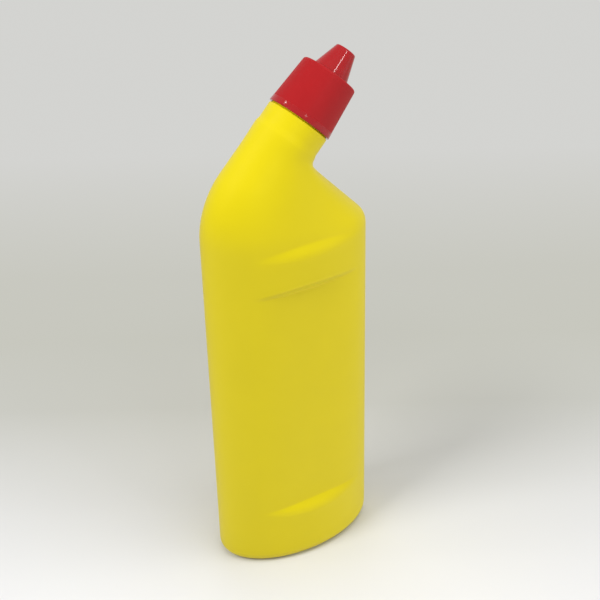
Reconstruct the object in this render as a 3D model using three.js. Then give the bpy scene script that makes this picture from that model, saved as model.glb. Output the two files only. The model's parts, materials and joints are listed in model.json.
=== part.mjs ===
// Angled-neck toilet cleaner bottle with its nozzle insert, sealing ring and screw cap.
// Millimetres, +Z up. The broad faces look along -Y and +Y, the neck leans towards +X,
// and the origin is on the ground under the middle of the body.

import * as THREE from 'three';

// Bottle body
const BODY_LENGTH = 85;
const BODY_DEPTH = 50;
const WALL = 1.2;
const BASE_WALL = 1.6;
const BASE_ROUND_LENGTHWISE = 6;
const BASE_ROUND_DEPTHWISE = 4.7;
const BASE_ROUND_HEIGHT = 6;
const FOOT_RIM_WIDTH = 3;
const PUSH_UP_HEIGHT = 3.5;

// Shoulder and neck, as seen along Y. The shoulder's corner sets the height of all above it,
// and the rises below are measured from it.
const SHOULDER_CORNER = 175.8;
const SHOULDER_ROUND = 9.5;
const SHOULDER_SLOPE = THREE.MathUtils.degToRad(45.5);
const NECK_TILT = THREE.MathUtils.degToRad(43.5);
const BEND_RISE = 2.4;
const BEND_RADIUS = 44.9;
const NECK_RADIUS = 15.8;
const CREASE_ROUND = 2.5;
const DEPTH_EASE = 0.2;

// Recessed label panel, its two curved ledges and the shallower one that starts the shoulder.
// Each ledge ends at its level, and its two edges swell from there by their sags.
// The upper two ledges lie at their drops below the shoulder's corner.
const PANEL_DEPTH = 3;
const PANEL_HALF_WIDTH = 30;
const PANEL_FADE = 1.5;
const SHOULDER_RECESS = 1.8;
const LOWER_LEDGE_LEVEL = 31.2;
const UPPER_LEDGE_DROP = 20.8;
const SHOULDER_LEDGE_DROP = 2.1;
const LOWER_LEDGE = { level: LOWER_LEDGE_LEVEL, outerSag: -4.4, innerSag: 1.6 };
const UPPER_LEDGE = { level: SHOULDER_CORNER - UPPER_LEDGE_DROP, outerSag: 3.6, innerSag: -0.1 };
const SHOULDER_LEDGE = { level: SHOULDER_CORNER - SHOULDER_LEDGE_DROP, outerSag: -2, innerSag: 4 };
const LEDGE_END_HEIGHT = 1.2;

// Neck finish, measured along the neck's axis from the end of the bend
const NECK_LENGTH = 40.3;
const NECK_END_ROUND = 0.8;
const COLLAR_HEIGHT = 2.6;
const FINISH_RADIUS = 11.4;
const FINISH_HEIGHT = 19.4;
const FINISH_WALL = 1.6;
const THREAD_HEIGHT = 0.9;
const BORE_FUNNEL = 4;
const EDGE = 0.5;
const CLEARANCE = 0.3;

// Nozzle insert
const PLUG_LENGTH = 9;
const PLUG_WALL = 1.3;
const PLUG_RELIEF = 0.25;
const RIB_HEIGHT = 1.4;
const FLANGE_THICKNESS = 1.2;
const FLANGE_INSET = 0.3;
const SPOUT_WALL = 1.1;
const SPOUT_GAP = 0.7;
const SPOUT_HEADROOM = 2;
const ORIFICE_RADIUS = 1.3;
const ORIFICE_LENGTH = 1.6;

// Sealing ring between the insert's flange and the cap
const RING_THICKNESS = 2;
const RING_GAP = 0.8;

// Screw cap
const SKIRT_GAP = 0.4;
const CAP_WALL = 1.15;
const CAP_FLARE = 2.15;
const CAP_OVERHANG = 0.6;
const CAP_SKIRT_WALL = 1.3;
const CAP_ROOF = 1.3;
const CAP_EDGE_ROUND = 1.2;
const CAP_BAND_HEIGHT = 2.8;
const CAP_BAND_STEP = 0.15;
const TIP_HEIGHT = 12.8;
const TIP_ROOT_RADIUS = 8.7;
const TIP_TOP_RADIUS = 5.1;
const TIP_ROUND = 0.8;
const TIP_WALL = 1.2;
const PIN_CLEARANCE = 0.4;
const PIN_REACH = 1.4;

// Facets
const BODY_SIDES = 48;
const ROUND_SIDES = 40;

const HALF_LENGTH = BODY_LENGTH / 2;
const HALF_DEPTH = BODY_DEPTH / 2;
const BEND_START = SHOULDER_CORNER + BEND_RISE;

// Directions in the X-Z plane: along the neck's axis, and from the axis to its underside
const NECK_AXIS = new THREE.Vector2(Math.sin(NECK_TILT), Math.cos(NECK_TILT));
const NECK_UNDER = new THREE.Vector2(Math.cos(NECK_TILT), -Math.sin(NECK_TILT));
const BEND_CENTRE = new THREE.Vector2(BEND_RADIUS - HALF_LENGTH, BEND_START);
const NECK_ORIGIN = BEND_CENTRE.clone().addScaledVector(NECK_UNDER, NECK_RADIUS - BEND_RADIUS);

// The corner between the body's upright end and the shoulder's slope
const CORNER_TURN = Math.PI / 2 - SHOULDER_SLOPE;
const FAN_START = SHOULDER_CORNER - SHOULDER_ROUND * Math.tan(CORNER_TURN / 2);

// Neck finish and cap, from the same radii and clearances
const RIM = NECK_LENGTH + FINISH_HEIGHT;
const BORE_RADIUS = FINISH_RADIUS - FINISH_WALL;
const CAP_BORE_RADIUS = FINISH_RADIUS + THREAD_HEIGHT + CLEARANCE;
const CAP_TOP_RADIUS = CAP_BORE_RADIUS + CAP_WALL;
const CAP_BOTTOM_RADIUS = CAP_TOP_RADIUS + CAP_FLARE;
const CAP_COUNTERBORE_RADIUS = CAP_BOTTOM_RADIUS - CAP_SKIRT_WALL;
const COLLAR_RADIUS = CAP_COUNTERBORE_RADIUS - CLEARANCE;
const NECK_TOP_RADIUS = CAP_BOTTOM_RADIUS - CAP_OVERHANG;

// Stack above the rim: flange, sealing ring, roof of the cap, tip
const FLANGE_UNDER = RIM + CLEARANCE;
const FLANGE_TOP = FLANGE_UNDER + FLANGE_THICKNESS;
const RING_UNDER = FLANGE_TOP + CLEARANCE;
const RING_TOP = RING_UNDER + RING_THICKNESS;
const CAP_UNDER_ROOF = RING_TOP + CLEARANCE;
const CAP_SHOULDER = CAP_UNDER_ROOF + CAP_ROOF;
const CAP_TOP = CAP_SHOULDER + TIP_HEIGHT;
const CAP_BOTTOM = NECK_LENGTH + SKIRT_GAP;

// The hollow of the cap's tip, and the spout that stands in it
const TIP_INSIDE_END = CAP_TOP - TIP_WALL;
const TIP_INSIDE_ROOT_RADIUS = TIP_ROOT_RADIUS - TIP_WALL;
const TIP_INSIDE_TOP_RADIUS = TIP_TOP_RADIUS - TIP_WALL;
const SPOUT_END = TIP_INSIDE_END - SPOUT_HEADROOM;

const range = (count) => Array.from({ length: count }, (_, index) => index);
const smooth = (t) => THREE.MathUtils.smoothstep(t, 0, 1);
const mix = THREE.MathUtils.lerp;

// Where the line from a along da meets the line from b along db, as a distance along da
function crossing(a, da, b, db) {
  const gap = b.clone().sub(a);
  return (gap.x * db.y - gap.y * db.x) / (da.x * db.y - da.y * db.x);
}

// The two end outlines from the top of the body to the neck, moved inwards by inset
function shoulderPaths(inset) {
  const end = HALF_LENGTH - inset;
  const upright = new THREE.Vector2(0, 1);
  const slope = new THREE.Vector2(-Math.cos(SHOULDER_SLOPE), Math.sin(SHOULDER_SLOPE));
  const outward = new THREE.Vector2(Math.sin(SHOULDER_SLOPE), Math.cos(SHOULDER_SLOPE));
  const onSlope = new THREE.Vector2(HALF_LENGTH, SHOULDER_CORNER).addScaledVector(outward, -inset);
  const toCorner = crossing(onSlope, slope, new THREE.Vector2(end, 0), upright);
  const corner = onSlope.clone().addScaledVector(slope, toCorner);
  const underNeck = NECK_ORIGIN.clone().addScaledVector(NECK_UNDER, NECK_RADIUS - inset);
  const crease = corner.clone().addScaledVector(slope, crossing(corner, slope, underNeck, NECK_AXIS));

  const cornerRound = SHOULDER_ROUND - inset;
  const cornerStart = corner.clone().addScaledVector(upright, -cornerRound * Math.tan(CORNER_TURN / 2));
  const creaseRound = CREASE_ROUND + inset;
  const creaseTurn = Math.PI / 2 - SHOULDER_SLOPE + NECK_TILT;
  const creaseReach = creaseRound * Math.tan(creaseTurn / 2);
  const creaseStart = crease.clone().addScaledVector(slope, -creaseReach);
  const creaseCentre = creaseStart.clone().addScaledVector(outward, creaseRound);
  const creaseEnd = crease.clone().addScaledVector(NECK_AXIS, creaseReach);

  const right = new THREE.Path();
  right.moveTo(end, FAN_START);
  right.lineTo(cornerStart.x, cornerStart.y);
  right.absarc(cornerStart.x - cornerRound, cornerStart.y, cornerRound, 0, CORNER_TURN, false);
  right.lineTo(creaseStart.x, creaseStart.y);
  right.absarc(creaseCentre.x, creaseCentre.y, creaseRound,
    outward.clone().negate().angle(), NECK_UNDER.clone().negate().angle(), true);

  const along = creaseEnd.clone().sub(NECK_ORIGIN).dot(NECK_AXIS);
  const leftEnd = NECK_ORIGIN.clone()
    .addScaledVector(NECK_AXIS, along)
    .addScaledVector(NECK_UNDER, inset - NECK_RADIUS);
  const left = new THREE.Path();
  left.moveTo(-end, FAN_START);
  left.lineTo(-end, BEND_START);
  left.absarc(BEND_CENTRE.x, BEND_CENTRE.y, BEND_RADIUS - inset, Math.PI, Math.PI - NECK_TILT, true);
  left.lineTo(leftEnd.x, leftEnd.y);
  return { left, right };
}

// From 0 to 1 at an even slope with both ends eased, so that the faces stay smooth
function easedRamp(t) {
  const slope = 1 / (1 - DEPTH_EASE);
  const bend = slope / (2 * DEPTH_EASE);
  if (t < DEPTH_EASE) return bend * t * t;
  if (t > 1 - DEPTH_EASE) return 1 - bend * (1 - t) * (1 - t);
  return slope * (t - DEPTH_EASE / 2);
}

// 1 in the middle of a broad face, 0 at the ends of its ledges and beyond
function swell(x) {
  const u = Math.min(Math.abs(x) / PANEL_HALF_WIDTH, 1);
  return 1 - u * u;
}

// The heights at x of a ledge's proud edge and of its set-in edge
function ledgeEdges(ledge, x) {
  const side = Math.sign(ledge.innerSag - ledge.outerSag);
  return {
    outer: ledge.level + ledge.outerSag * swell(x) - side * LEDGE_END_HEIGHT / 2,
    inner: ledge.level + ledge.innerSag * swell(x) + side * LEDGE_END_HEIGHT / 2,
  };
}

// 0 on the proud side of a ledge and 1 on its set-in side
function pastLedge(ledge, x, z) {
  const { outer, inner } = ledgeEdges(ledge, x);
  return smooth((z - outer) / (inner - outer));
}

// How far the broad faces are set in at x and z
function setIn(x, z, neckward) {
  const panel = PANEL_DEPTH * pastLedge(LOWER_LEDGE, x, z) * pastLedge(UPPER_LEDGE, x, z);
  const shoulder = SHOULDER_RECESS * pastLedge(SHOULDER_LEDGE, x, z) * (1 - neckward);
  return Math.pow(swell(x), PANEL_FADE) * (panel + shoulder);
}

// One elliptical section between two end points in the X-Z plane.
// lift(x) raises its points, and neckward fades the recesses out.
function section(from, to, halfDepth, neckward = 0, lift = () => 0) {
  return range(BODY_SIDES).map((side) => {
    const angle = side / BODY_SIDES * 2 * Math.PI;
    const place = from.clone().lerp(to, (1 + Math.cos(angle)) / 2);
    const z = place.y + lift(place.x);
    const depth = Math.sin(angle);
    const y = (halfDepth - setIn(place.x, z, neckward)) * depth;
    return new THREE.Vector3(place.x, y, z);
  });
}

// A section of the upright body
function levelSection(inset, level, lift) {
  const end = HALF_LENGTH - inset;
  return section(
    new THREE.Vector2(-end, level), new THREE.Vector2(end, level), HALF_DEPTH - inset, 0, lift);
}

// Sections that follow a ledge from its lower edge to its upper one, so both stay crisp
function ledgeSections(ledge, inset, steps) {
  const upwards = ledge.innerSag > ledge.outerSag;
  return range(steps + 1).map((step) => levelSection(inset, 0, (x) => {
    const { outer, inner } = ledgeEdges(ledge, x);
    const part = step / steps;
    return mix(outer, inner, upwards ? part : 1 - part);
  }));
}

// The upright sides, from the base's rounded edge to the shoulder
function sideSections(inset, ledgeSteps) {
  const low = LOWER_LEDGE.level;
  const high = UPPER_LEDGE.level;
  return [
    levelSection(inset, mix(BASE_ROUND_HEIGHT, low, 0.5)),
    ...ledgeSections(LOWER_LEDGE, inset, ledgeSteps),
    ...[0.06, 0.36, 0.68, 0.95].map((part) => levelSection(inset, mix(low, high, part))),
    ...ledgeSections(UPPER_LEDGE, inset, ledgeSteps),
    levelSection(inset, mix(high, FAN_START, 0.6)),
  ];
}

// The base's rounded edge, from the ground or the inner floor up
function baseSections(inset, floor, steps) {
  return range(steps + 1).map((step) => {
    const angle = step / steps * Math.PI / 2;
    const tuck = 1 - Math.sin(angle);
    const end = HALF_LENGTH - inset - BASE_ROUND_LENGTHWISE * tuck;
    const z = floor + (BASE_ROUND_HEIGHT - floor * tuck) * (1 - Math.cos(angle));
    return section(
      new THREE.Vector2(-end, z), new THREE.Vector2(end, z),
      HALF_DEPTH - inset - BASE_ROUND_DEPTHWISE * tuck);
  });
}

// The shoulder, fanning from the level body to a section square to the neck
function shoulderSections(inset, stops) {
  const { left, right } = shoulderPaths(inset);
  return stops.map((t) => {
    const neckward = easedRamp(t);
    const halfDepth = mix(HALF_DEPTH, NECK_RADIUS, neckward) - inset;
    return section(left.getPointAt(t), right.getPointAt(t), halfDepth, neckward);
  });
}

// Round sections about the neck's axis through a profile of [radius, distance] points
function neckSections(profile) {
  return profile.map(([radius, along]) => {
    const centre = NECK_ORIGIN.clone().addScaledVector(NECK_AXIS, along);
    const from = centre.clone().addScaledVector(NECK_UNDER, -radius);
    const to = centre.clone().addScaledVector(NECK_UNDER, radius);
    return section(from, to, radius, 1);
  });
}

// The raised ring of the foot and the hollow pushed up inside it
function footSections() {
  const endOfRim = HALF_LENGTH - BASE_ROUND_LENGTHWISE - FOOT_RIM_WIDTH;
  const depthOfRim = HALF_DEPTH - BASE_ROUND_DEPTHWISE - FOOT_RIM_WIDTH;
  return [0.45, 0.8, 1].map((size) => {
    const z = PUSH_UP_HEIGHT * (1 - size * size);
    return section(
      new THREE.Vector2(-size * endOfRim, z), new THREE.Vector2(size * endOfRim, z),
      size * depthOfRim);
  });
}

// Skins a list of sections into one closed surface with a point at each end
function skin(firstPoint, sections, lastPoint) {
  const positions = [firstPoint, ...sections.flat(), lastPoint];
  const sides = sections[0].length;
  const at = (row, side) => 1 + row * sides + side % sides;
  const lastRow = sections.length - 1;
  const lastIndex = positions.length - 1;
  const faces = [];
  for (const side of range(sides)) {
    faces.push(0, at(0, side + 1), at(0, side));
    faces.push(lastIndex, at(lastRow, side), at(lastRow, side + 1));
    for (const row of range(lastRow)) {
      faces.push(at(row, side), at(row, side + 1), at(row + 1, side + 1));
      faces.push(at(row, side), at(row + 1, side + 1), at(row + 1, side));
    }
  }
  const geometry = new THREE.BufferGeometry().setFromPoints(positions);
  geometry.setIndex(faces);
  geometry.computeVertexNormals();
  return geometry;
}

// The blow-moulded bottle: out over the foot, up the outside, in at the mouth and down the inside
function bottleGeometry() {
  const shoulderStops = [
    ...range(10).map((step) => step * 0.022),
    0.24, 0.31, 0.38, 0.45, 0.52, 0.59, 0.66, 0.73, 0.8, 0.87, 0.925, 0.96, 1,
  ];
  const insideStops = [0, 0.06, 0.13, 0.2, 0.3, 0.42, 0.54, 0.66, 0.78, 0.9, 1];
  const outside = [
    ...footSections(),
    ...baseSections(0, 0, 5),
    ...sideSections(0, 4),
    ...shoulderSections(0, shoulderStops),
    ...neckSections([
      [NECK_TOP_RADIUS, NECK_LENGTH - NECK_END_ROUND],
      [NECK_TOP_RADIUS - NECK_END_ROUND * 0.3, NECK_LENGTH - NECK_END_ROUND * 0.3],
      [NECK_TOP_RADIUS - NECK_END_ROUND, NECK_LENGTH],
      [COLLAR_RADIUS, NECK_LENGTH],
      [COLLAR_RADIUS, NECK_LENGTH + COLLAR_HEIGHT - EDGE],
      [COLLAR_RADIUS - EDGE, NECK_LENGTH + COLLAR_HEIGHT],
      [FINISH_RADIUS, NECK_LENGTH + COLLAR_HEIGHT],
      [FINISH_RADIUS, RIM - EDGE],
      [FINISH_RADIUS - EDGE, RIM],
    ]),
  ];
  const inside = [
    ...neckSections([
      [BORE_RADIUS, RIM],
      [BORE_RADIUS, NECK_LENGTH + WALL],
      [NECK_TOP_RADIUS - WALL, NECK_LENGTH + WALL - BORE_FUNNEL],
    ]),
    ...shoulderSections(WALL, insideStops).reverse(),
    ...sideSections(WALL, 2).reverse(),
    ...baseSections(WALL, PUSH_UP_HEIGHT + BASE_WALL, 3).reverse(),
  ];
  return skin(
    new THREE.Vector3(0, 0, PUSH_UP_HEIGHT),
    [...outside, ...inside],
    new THREE.Vector3(0, 0, PUSH_UP_HEIGHT + BASE_WALL),
  );
}

// A profile of [radius, distance along the axis] points turned about +Z
function turned(profile) {
  const points = profile.map(([radius, along]) => new THREE.Vector2(radius, along));
  const geometry = new THREE.LatheGeometry(points, ROUND_SIDES);
  geometry.rotateX(Math.PI / 2);
  return geometry;
}

// Profile points round an outer corner, from facing outwards to facing up
function roundedCorner(radius, along, round) {
  return range(4).map((step) => {
    const angle = step / 3 * Math.PI / 2;
    return [radius - round * (1 - Math.cos(angle)), along - round * (1 - Math.sin(angle))];
  });
}

function insertGeometry() {
  const plugRadius = BORE_RADIUS - CLEARANCE;
  const relievedRadius = plugRadius - PLUG_RELIEF;
  const plugEnd = FLANGE_UNDER - PLUG_LENGTH;
  const upperRib = FLANGE_UNDER - 2 * RIB_HEIGHT;
  const insideRadius = relievedRadius - PLUG_WALL;
  const flangeRadius = FINISH_RADIUS - FLANGE_INSET;
  const spoutRadius = (along) => THREE.MathUtils.mapLinear(
    along, CAP_UNDER_ROOF, TIP_INSIDE_END, TIP_INSIDE_ROOT_RADIUS, TIP_INSIDE_TOP_RADIUS) - SPOUT_GAP;
  const rootRadius = spoutRadius(CAP_UNDER_ROOF);
  const orificeStart = SPOUT_END - ORIFICE_LENGTH;
  return turned([
    [insideRadius, plugEnd],
    [relievedRadius - PLUG_RELIEF, plugEnd],
    [plugRadius, plugEnd + RIB_HEIGHT],
    [relievedRadius, plugEnd + RIB_HEIGHT + PLUG_RELIEF],
    [relievedRadius, upperRib],
    [plugRadius, upperRib + PLUG_RELIEF],
    [plugRadius, FLANGE_UNDER],
    [flangeRadius, FLANGE_UNDER],
    [flangeRadius, FLANGE_TOP - PLUG_RELIEF],
    [flangeRadius - PLUG_RELIEF, FLANGE_TOP],
    [rootRadius, FLANGE_TOP],
    [spoutRadius(SPOUT_END - EDGE), SPOUT_END - EDGE],
    [spoutRadius(SPOUT_END) - EDGE, SPOUT_END],
    [ORIFICE_RADIUS, SPOUT_END],
    [ORIFICE_RADIUS, orificeStart],
    [spoutRadius(orificeStart) - SPOUT_WALL, orificeStart - EDGE],
    [rootRadius - SPOUT_WALL, FLANGE_TOP],
    [insideRadius, FLANGE_UNDER - FLANGE_THICKNESS],
    [insideRadius, plugEnd],
  ]);
}

function ringGeometry() {
  const innerRadius = TIP_INSIDE_ROOT_RADIUS - SPOUT_GAP + RING_GAP;
  const outerRadius = CAP_BORE_RADIUS - CLEARANCE;
  return turned([
    [innerRadius, RING_UNDER],
    [outerRadius, RING_UNDER],
    [outerRadius, RING_TOP],
    [innerRadius, RING_TOP],
    [innerRadius, RING_UNDER],
  ]);
}

function capGeometry() {
  const taper = (along) => THREE.MathUtils.mapLinear(
    along, CAP_BOTTOM, CAP_SHOULDER, CAP_BOTTOM_RADIUS, CAP_TOP_RADIUS);
  const bandTop = CAP_BOTTOM + CAP_BAND_HEIGHT;
  const counterboreEnd = NECK_LENGTH + COLLAR_HEIGHT + CLEARANCE;
  const pinRadius = ORIFICE_RADIUS - PIN_CLEARANCE;
  const pinEnd = SPOUT_END - PIN_REACH;
  return turned([
    [0, pinEnd],
    [pinRadius * 0.7, pinEnd],
    [pinRadius, pinEnd + EDGE],
    [pinRadius, TIP_INSIDE_END],
    [TIP_INSIDE_TOP_RADIUS, TIP_INSIDE_END],
    [TIP_INSIDE_ROOT_RADIUS, CAP_UNDER_ROOF],
    [CAP_BORE_RADIUS, CAP_UNDER_ROOF],
    [CAP_BORE_RADIUS, counterboreEnd + EDGE],
    [CAP_COUNTERBORE_RADIUS, counterboreEnd],
    [CAP_COUNTERBORE_RADIUS, CAP_BOTTOM],
    [CAP_BOTTOM_RADIUS, CAP_BOTTOM],
    [taper(bandTop), bandTop],
    [taper(bandTop) - CAP_BAND_STEP, bandTop],
    ...roundedCorner(CAP_TOP_RADIUS, CAP_SHOULDER, CAP_EDGE_ROUND),
    [TIP_ROOT_RADIUS, CAP_SHOULDER],
    ...roundedCorner(TIP_TOP_RADIUS, CAP_TOP, TIP_ROUND),
    [0, CAP_TOP],
  ]);
}

const yellow = new THREE.MeshStandardMaterial({ color: '#dac823', roughness: 0.45, metalness: 0 });
const natural = new THREE.MeshStandardMaterial({ color: '#e8e6df', roughness: 0.4, metalness: 0 });
const foam = new THREE.MeshStandardMaterial({ color: '#f4f3ee', roughness: 0.9, metalness: 0 });
const red = new THREE.MeshStandardMaterial({ color: '#b62a2d', roughness: 0.5, metalness: 0 });

function piece(name, geometry, material) {
  const mesh = new THREE.Mesh(geometry, material);
  mesh.name = name;
  return mesh;
}

const product = new THREE.Group();
product.add(piece('bottle', bottleGeometry(), yellow));

// The pieces on the neck stand in a group whose +Z is the neck's axis
const neckFrame = new THREE.Group();
neckFrame.position.set(NECK_ORIGIN.x, 0, NECK_ORIGIN.y);
neckFrame.rotation.y = NECK_TILT;
neckFrame.add(piece('nozzle_insert', insertGeometry(), natural));
neckFrame.add(piece('sealing_ring', ringGeometry(), foam));
neckFrame.add(piece('cap', capGeometry(), red));
product.add(neckFrame);

export default product;
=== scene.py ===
import json
import math
from collections import namedtuple

import bpy
from mathutils import Matrix, Vector


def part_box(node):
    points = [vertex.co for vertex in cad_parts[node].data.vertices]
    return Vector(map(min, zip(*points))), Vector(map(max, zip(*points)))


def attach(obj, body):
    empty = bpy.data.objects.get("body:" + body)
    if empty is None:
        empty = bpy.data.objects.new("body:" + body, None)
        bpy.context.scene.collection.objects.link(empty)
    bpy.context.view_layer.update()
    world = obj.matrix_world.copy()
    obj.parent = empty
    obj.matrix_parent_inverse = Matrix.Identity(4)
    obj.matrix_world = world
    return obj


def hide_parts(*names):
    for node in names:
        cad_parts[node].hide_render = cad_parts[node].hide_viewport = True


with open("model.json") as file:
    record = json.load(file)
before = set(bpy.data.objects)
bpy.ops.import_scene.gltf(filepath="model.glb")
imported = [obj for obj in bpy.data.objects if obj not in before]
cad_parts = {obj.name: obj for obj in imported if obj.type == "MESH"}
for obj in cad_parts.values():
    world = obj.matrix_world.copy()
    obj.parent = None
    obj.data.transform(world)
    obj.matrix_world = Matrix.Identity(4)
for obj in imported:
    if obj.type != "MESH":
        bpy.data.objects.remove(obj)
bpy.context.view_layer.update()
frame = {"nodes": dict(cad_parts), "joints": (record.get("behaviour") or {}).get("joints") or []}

bl_info = {
    "name": "Toilet cleaner bottle",
    "version": (1, 0, 0),
    "blender": (4, 5, 0),
    "location": "View3D > Sidebar > Bottle",
    "description": "Models a toilet cleaner bottle, its nozzle and its screw cap",
    "category": "Object",
}

MM = 0.001

# The neck's axis is the one that the cap turns about, and its joint stands at the middle of the rim
CAP_TURN = next(joint for joint in frame["joints"] if joint["name"] == "cap_turn")
NECK_AXIS = Vector(CAP_TURN["axis"]).normalized()
NECK_TILT = math.atan2(NECK_AXIS.x, NECK_AXIS.z)
NECK_UNDER = Vector((math.cos(NECK_TILT), 0, -math.sin(NECK_TILT)))
RIM_CENTRE = Vector(CAP_TURN["pos_m"])

BODY_LOW, BODY_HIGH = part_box("bottle")
HALF_LENGTH = (BODY_HIGH.x - BODY_LOW.x) / 2
HALF_DEPTH = (BODY_HIGH.y - BODY_LOW.y) / 2

BODY_SIDES = 192
ROUND_SIDES = 128
RING_SPACING = 2 * MM
MERGE_DISTANCE = 0.001 * MM

# Rounding of the neck's end and of moulded edges, and the slope between two bores
NECK_END_ROUND = 0.8 * MM
INSERT_ROUND = 0.2 * MM
MOULDED_ROUND = 0.25 * MM
BORE_SLOPE = 0.5 * MM

# Neck thread's start from the rim, depth of both threads' roots, height of the cap's thread
THREAD_START = -9.6 * MM
THREAD_BITE = 0.2 * MM
CAP_THREAD_HEIGHT = 0.85 * MM

# One elliptical ring of a skin. turn is the angle of its long way from +X towards +Z,
# and fade is 1 where the panel's recess has run out into the neck.
Section = namedtuple("Section", "centre turn long deep fade", defaults=(0.0,))


def neck_reach(node):
    """Where a CAD node starts and ends along the neck's axis, from the rim, and its largest radius."""
    offsets = [vertex.co - RIM_CENTRE for vertex in frame["nodes"][node].data.vertices]
    along = [offset.dot(NECK_AXIS) for offset in offsets]
    radius = max((offset - NECK_AXIS * reach).length for offset, reach in zip(offsets, along))
    return min(along), max(along), radius


CAP_BOTTOM, CAP_TOP, CAP_BOTTOM_RADIUS = neck_reach("cap")
INSERT_BOTTOM, SPOUT_END, FLANGE_RADIUS = neck_reach("nozzle_insert")
RING_UNDER, RING_TOP, RING_RADIUS = neck_reach("sealing_ring")


def size(text, default, description):
    """A length that a user may change."""
    return bpy.props.FloatProperty(
        name=text, description=description, default=default, min=0.0, unit="LENGTH", precision=5)


def angle(text, degrees, description):
    """An angle that a user may change."""
    return bpy.props.FloatProperty(
        name=text, description=description, default=math.radians(degrees), subtype="ANGLE")


def number(text, default, description):
    """A plain number that a user may change."""
    return bpy.props.FloatProperty(name=text, description=description, default=default)


def colour(text, default, description):
    """A linear colour that a user may change."""
    return bpy.props.FloatVectorProperty(
        name=text, description=description, default=default, size=3, min=0.0, max=1.0, subtype="COLOR")


class BottleSettings(bpy.types.PropertyGroup):
    """Sizes and colour of the blown bottle."""

    wall: size("Wall", 1.2 * MM, "Thickness of the blown wall")
    neck_wall: size("Neck wall", 1.6 * MM, "Thickness of the wall under the rim")
    base_round_long: size("Base round, lengthwise", 6 * MM, "How far the base's edge tucks in at the ends")
    base_round_deep: size("Base round, depthwise", 4.7 * MM, "How far it tucks in at the broad faces")
    base_round_height: size("Base round, height", 6 * MM, "Height of the base's rounded edge")
    foot_rim: size("Foot rim", 3 * MM, "Width of the flat ring that the bottle stands on")
    push_up: size("Push-up", 3.5 * MM, "Height of the hollow under the base")
    shoulder_corner: size("Shoulder corner", 175.8 * MM, "Height of the corner where the shoulder starts")
    shoulder_round: size("Shoulder round", 9.5 * MM, "Radius of that corner")
    shoulder_slope: angle("Shoulder slope", 45.5, "Rise of the shoulder towards the neck")
    bend_start: size("Bend start", 178.2 * MM, "Height at which the back of the bottle starts to bend")
    bend_radius: size("Bend radius", 44.9 * MM, "Radius of that bend")
    neck_radius: size("Neck radius", 15.8 * MM, "Radius of the neck at the end of the bend")
    neck_top_radius: size("Neck top radius", 15.3 * MM, "Radius of the neck under the cap")
    neck_length: size("Neck length", 40.3 * MM, "From the end of the bend to the step under the cap")
    crease_round: size("Crease round", 2.5 * MM, "Radius of the crease between shoulder and neck")
    panel_depth: size("Panel depth", 3 * MM, "How far the label panel is set in")
    panel_half_width: size("Panel half width", 30 * MM, "From the panel's middle to its sides")
    shoulder_recess: size("Shoulder recess", 1.8 * MM, "How far the shoulder is set in above its ledge")
    finish_radius: size("Finish radius", 11.4 * MM, "Radius of the threaded end")
    collar_radius: size("Collar radius", 14.3 * MM, "Radius of the collar inside the cap's lower edge")
    collar_height: size("Collar height", 2.6 * MM, "Height of that collar")
    edge_round: size("Edge round", 0.35 * MM, "Radius of the mouth's and the collar's edges")
    plastic: colour("Plastic", (0.69, 0.565, 0.002), "Colour of the yellow plastic")


class ClosureSettings(bpy.types.PropertyGroup):
    """Sizes and colours of the cap, the nozzle insert and the sealing ring."""

    cap_top_radius: size("Cap top radius", 13.75 * MM, "Radius of the cap's skirt at its top")
    cap_bore_radius: size("Cap bore radius", 12.6 * MM, "Radius inside the cap")
    counterbore_radius: size("Counterbore radius", 14.6 * MM, "Radius inside the cap's lower edge")
    counterbore_height: size("Counterbore height", 2.5 * MM, "Height of the wider part inside the skirt")
    shoulder_round: size("Shoulder round", 1.2 * MM, "Radius of the skirt's upper edge")
    roof: size("Roof", 1.3 * MM, "Thickness of the cap's roof")
    band_height: size("Band height", 2.8 * MM, "Height of the smooth band round the cap's lower edge")
    band_step: size("Band step", 0.15 * MM, "How far the band stands proud of the textured skirt")
    tip_height: size("Tip height", 12.8 * MM, "Height of the cap's tip above the skirt")
    tip_root_radius: size("Tip root radius", 8.7 * MM, "Radius of the tip at its root")
    tip_top_radius: size("Tip top radius", 5.1 * MM, "Radius of the tip at its top")
    tip_round: size("Tip round", 0.8 * MM, "Radius of the tip's upper edge")
    tip_fillet: size("Tip fillet", 0.5 * MM, "Radius of the fillet at the tip's root")
    tip_wall: size("Tip wall", 1.2 * MM, "Thickness of the tip's wall")
    pin_radius: size("Pin radius", 0.9 * MM, "Radius of the pin that stops the nozzle")
    pin_reach: size("Pin reach", 1.4 * MM, "How far the pin reaches into the nozzle")
    orifice_radius: size("Orifice radius", 1.3 * MM, "Radius of the nozzle's hole")
    orifice_length: size("Orifice length", 1.6 * MM, "Length of the nozzle's hole")
    plug_radius: size("Plug radius", 9.5 * MM, "Radius of the insert's sealing ribs")
    plug_wall: size("Plug wall", 1.3 * MM, "Thickness of the insert's plug")
    flange: size("Flange", 1.2 * MM, "Thickness of the insert's flange")
    rim_gap: size("Rim gap", 0.3 * MM, "Gap between the stacked pieces")
    spout_gap: size("Spout gap", 0.7 * MM, "Gap between the spout and the inside of the tip")
    spout_wall: size("Spout wall", 1.1 * MM, "Thickness of the spout's wall")
    ring_inner_radius: size("Ring inner radius", 7.6 * MM, "Radius of the sealing ring's hole")
    thread_pitch: size("Thread pitch", 3.2 * MM, "Rise of the thread in one turn")
    thread_height: size("Thread height", 0.9 * MM, "How far the neck's thread stands out")
    thread_turns: bpy.props.IntProperty(
        name="Thread turns", description="Turns of the thread", default=2, min=1)
    red: colour("Red", (0.33, 0.005, 0.007), "Colour of the cap's plastic")
    natural: colour("Natural", (0.78, 0.77, 0.72), "Colour of the insert's milky plastic")
    foam: colour("Foam", (0.87, 0.86, 0.82), "Colour of the sealing ring's foam")


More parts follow.
